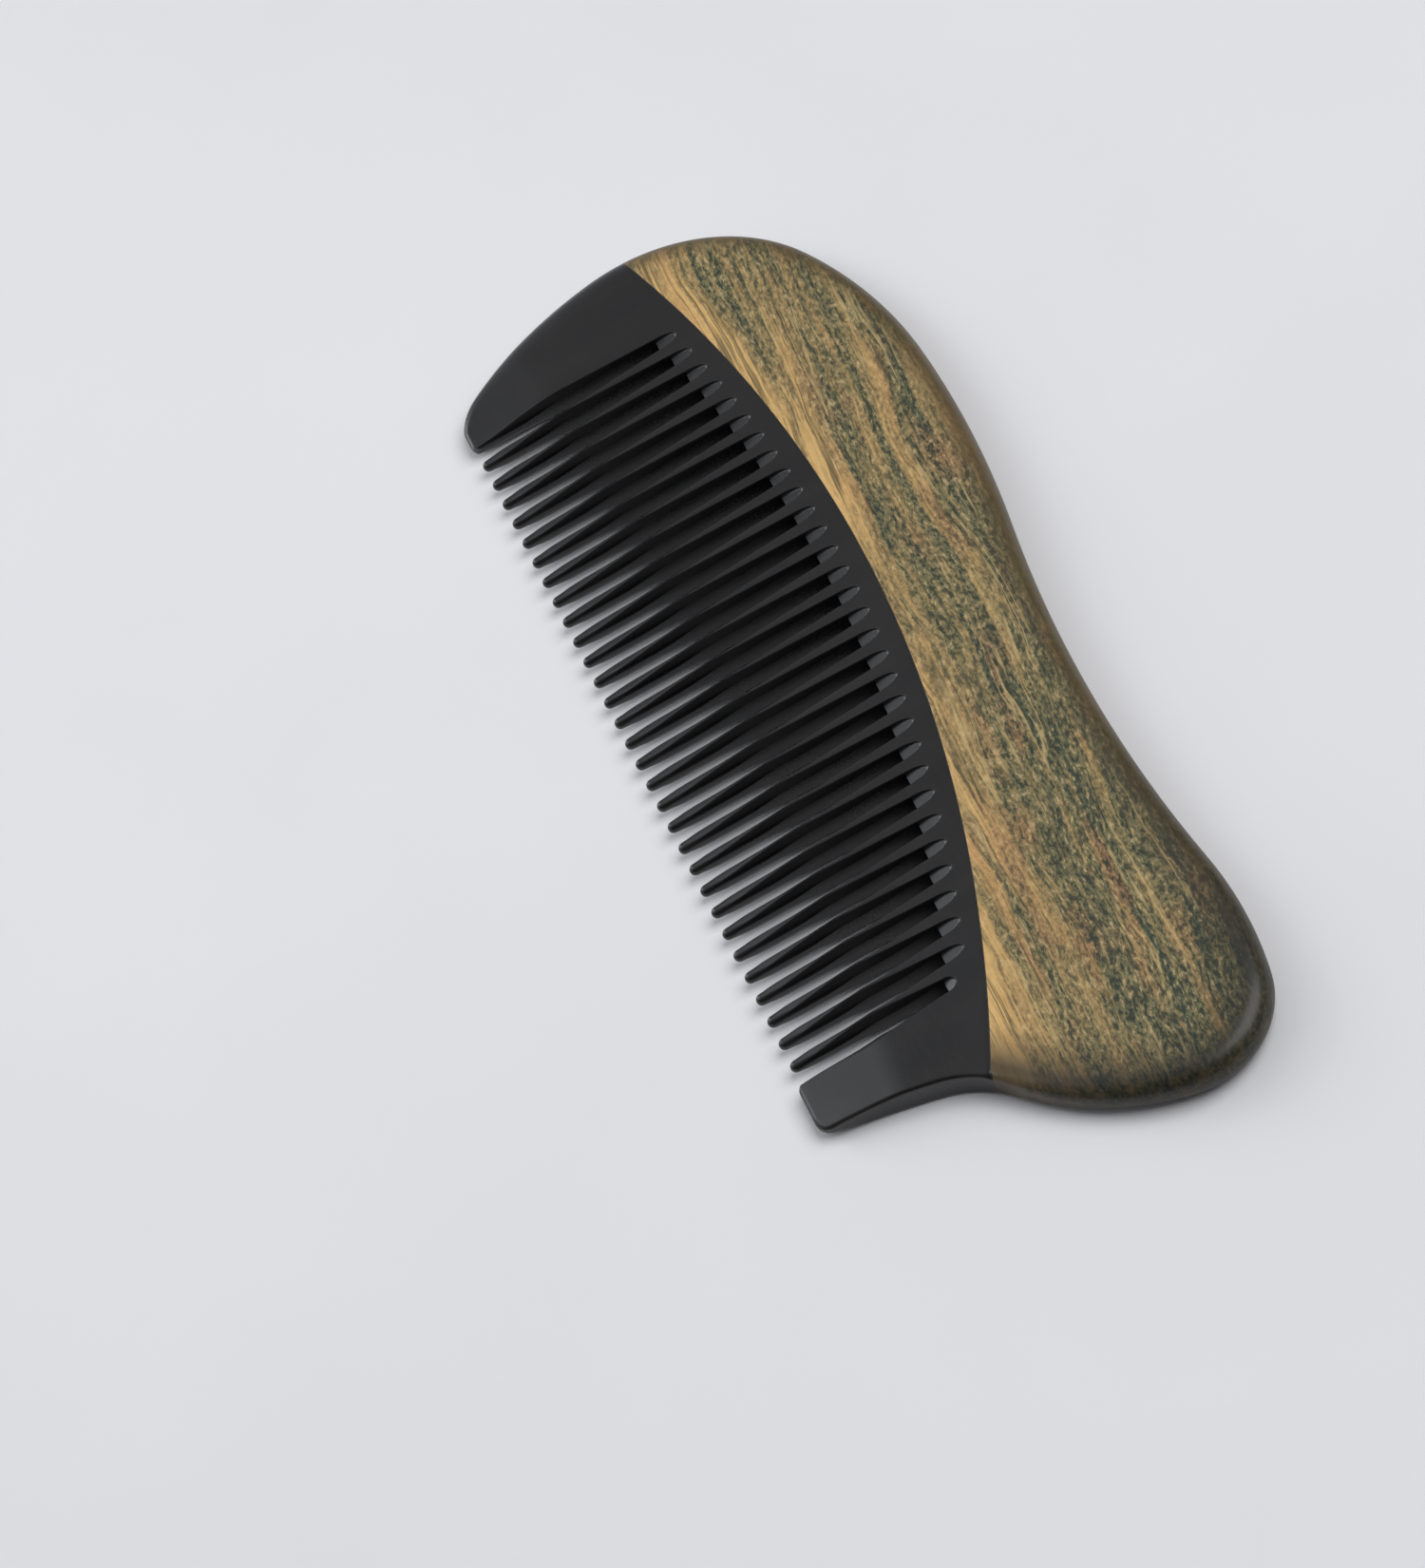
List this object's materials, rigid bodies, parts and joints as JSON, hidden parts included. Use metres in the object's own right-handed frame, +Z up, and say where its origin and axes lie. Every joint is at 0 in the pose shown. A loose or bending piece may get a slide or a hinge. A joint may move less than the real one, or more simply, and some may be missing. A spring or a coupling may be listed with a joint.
{
  "type": "beard comb",
  "caption": "Handle-less two-material beard comb: a curved wooden back glued over a tapered horn tooth plate along an arched tongue-and-groove joint.",
  "frame": {"origin": "under the middle of the comb, on the surface that its lower face lies on", "axes": "+X along the comb towards the tail lobe, +Y from the tooth tips towards the back, +Z up through the thickness"},
  "size_m": [0.1468, 0.0546, 0.0053],
  "materials": {
    "green_wood": "satin, hand-polished, streaky gold and grey-green grain along the comb",
    "dark_horn": "polished near-black natural horn with faint streaks",
    "glue": "clear amber cured adhesive"
  },
  "bodies": {
    "root": {"wood_back": "green_wood", "horn_tooth_plate": "dark_horn", "glue_film": "glue"}
  },
  "joints": []
}
